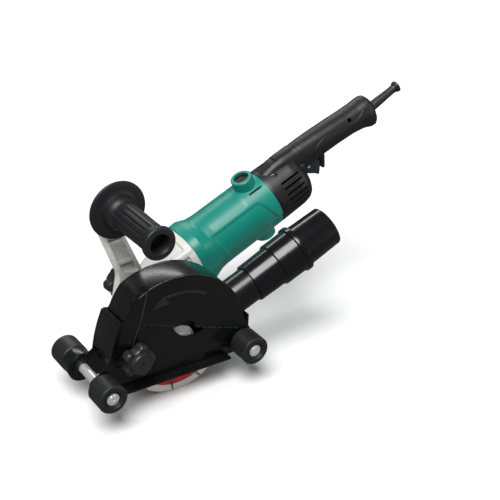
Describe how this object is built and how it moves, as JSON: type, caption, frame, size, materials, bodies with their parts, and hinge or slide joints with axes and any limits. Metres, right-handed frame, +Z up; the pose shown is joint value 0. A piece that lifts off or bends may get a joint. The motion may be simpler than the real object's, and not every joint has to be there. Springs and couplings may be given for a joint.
{
  "type": "wall chaser",
  "caption": "Hand-held wall chaser: paired diamond blades in a hinged guard on a roller base, with bevel gearbox, long barrel motor, side handle and dust outlet.",
  "frame": {"origin": "centre of the spindle's outer end face", "axes": "+X to the rear along the cut, +Y along the spindle from its open end to the motor, +Z up"},
  "size_m": [0.5447, 0.2115, 0.2883],
  "materials": {
    "black_steel": "gloss black paint",
    "bright_steel": "turned steel",
    "roller_rubber": "satin",
    "black_plastic": "fine moulded grain",
    "duct_plastic": "gloss",
    "grey_plastic": "fine moulded grain",
    "teal_plastic": "satin gloss",
    "light_casting": "painted die casting",
    "blade_core": "satin red paint",
    "trigger_plastic": "moulded grain",
    "winding_copper": "enamelled",
    "brush_carbon": "dry"
  },
  "bodies": {
    "base": {"base_near_plate": "black_steel", "base_far_plate": "black_steel", "base_front_shell": "black_steel", "front_axle": "bright_steel", "rear_axle": "bright_steel", "front_far_boss": "black_steel", "rear_far_boss": "black_steel"},
    "roller_front_near": {"roller_front_near": "roller_rubber"},
    "roller_front_far": {"roller_front_far": "roller_rubber"},
    "roller_rear_near": {"roller_rear_near": "roller_rubber"},
    "roller_rear_far": {"roller_rear_far": "roller_rubber"},
    "tool": {"guard_near_plate": "black_steel", "guard_hood": "black_steel", "guard_far_plate": "black_steel", "dust_spout": "black_steel", "gearbox_housing": "light_casting", "handle_arm": "light_casting", "side_handle": "grey_plastic", "side_handle_stud": "bright_steel", "spindle_front_bearing": "bright_steel", "spindle_rear_bearing": "bright_steel", "motor_housing": "teal_plastic", "brush_cap_upper": "black_plastic", "brush_cap_lower": "black_plastic", "brush_holder_upper": "winding_copper", "brush_holder_lower": "winding_copper", "carbon_brush_upper": "brush_carbon", "carbon_brush_lower": "brush_carbon", "motor_front_bearing": "bright_steel", "motor_rear_bearing": "bright_steel", "stator_core": "bright_steel", "rear_housing_near": "black_plastic", "rear_housing_far": "black_plastic", "trigger_pin": "bright_steel", "switch_body": "grey_plastic", "cord_guard": "black_plastic"},
    "near_knob": {"near_clamp_knob": "black_plastic"},
    "far_knob": {"far_clamp_knob": "black_plastic"},
    "cuff": {"dust_cuff": "duct_plastic"},
    "spindle": {"spindle": "bright_steel", "bevel_gear": "bright_steel", "inner_flange": "bright_steel", "spacer_near": "bright_steel", "spacer_far": "bright_steel", "flange_nut": "bright_steel", "blade_near": "blade_core", "blade_far": "blade_core"},
    "armature": {"armature_shaft": "bright_steel", "armature_core": "winding_copper", "commutator": "winding_copper", "cooling_fan": "grey_plastic", "bevel_pinion": "bright_steel"},
    "trigger": {"trigger": "trigger_plastic"},
    "lock_button": {"lock_button": "trigger_plastic"}
  },
  "joints": [
    {"name": "roller_front_near_spin", "type": "hinge", "parent": "base", "child": "roller_front_near", "pos_m": [-0.109, 0, -0.019], "axis": [0, 1, 0], "continuous": true},
    {"name": "roller_front_far_spin", "type": "hinge", "parent": "base", "child": "roller_front_far", "pos_m": [-0.109, 0, -0.019], "axis": [0, 1, 0], "continuous": true},
    {"name": "roller_rear_near_spin", "type": "hinge", "parent": "base", "child": "roller_rear_near", "pos_m": [0.0839, 0, -0.019], "axis": [0, 1, 0], "continuous": true},
    {"name": "roller_rear_far_spin", "type": "hinge", "parent": "base", "child": "roller_rear_far", "pos_m": [0.0839, 0, -0.019], "axis": [0, 1, 0], "continuous": true},
    {"name": "depth_tilt", "type": "hinge", "parent": "base", "child": "tool", "pos_m": [0.0839, 0, -0.019], "axis": [0, -1, 0], "range_deg": [-17, 5]},
    {"name": "near_knob_turn", "type": "hinge", "parent": "tool", "child": "near_knob", "pos_m": [-0.06703, 0, 0.00897], "axis": [0, 1, 0], "range_deg": [0, 180]},
    {"name": "far_knob_turn", "type": "hinge", "parent": "base", "child": "far_knob", "pos_m": [-0.03777, 0, 0.05614], "axis": [0, -1, 0], "range_deg": [0, 180]},
    {"name": "cuff_swivel", "type": "hinge", "parent": "tool", "child": "cuff", "pos_m": [0.0817, 0.017, 0.0288], "axis": [0.915, 0, 0.4035], "continuous": true},
    {"name": "spindle_spin", "type": "hinge", "parent": "tool", "child": "spindle", "pos_m": [0, 0, 0], "axis": [0, 1, 0], "continuous": true},
    {"name": "armature_spin", "type": "hinge", "parent": "tool", "child": "armature", "pos_m": [0, 0.12, 0], "axis": [0.9063, 0, 0.4226], "continuous": true},
    {"name": "trigger_press", "type": "hinge", "parent": "tool", "child": "trigger", "pos_m": [0.26519, 0.12, 0.12697], "axis": [0, -1, 0], "range_deg": [0, 7], "stiffness_Nm_per_rad": 2, "springref_deg": -5.73},
    {"name": "lock_press", "type": "slide", "parent": "tool", "child": "lock_button", "axis": [0, 1, 0], "range_m": [0, 0.003], "stiffness_N_per_m": 400, "springref_m": -0.001}
  ],
  "couplings": [
    {"joint": "armature_spin", "follows": "spindle_spin", "ratio": 2.5833}
  ]
}
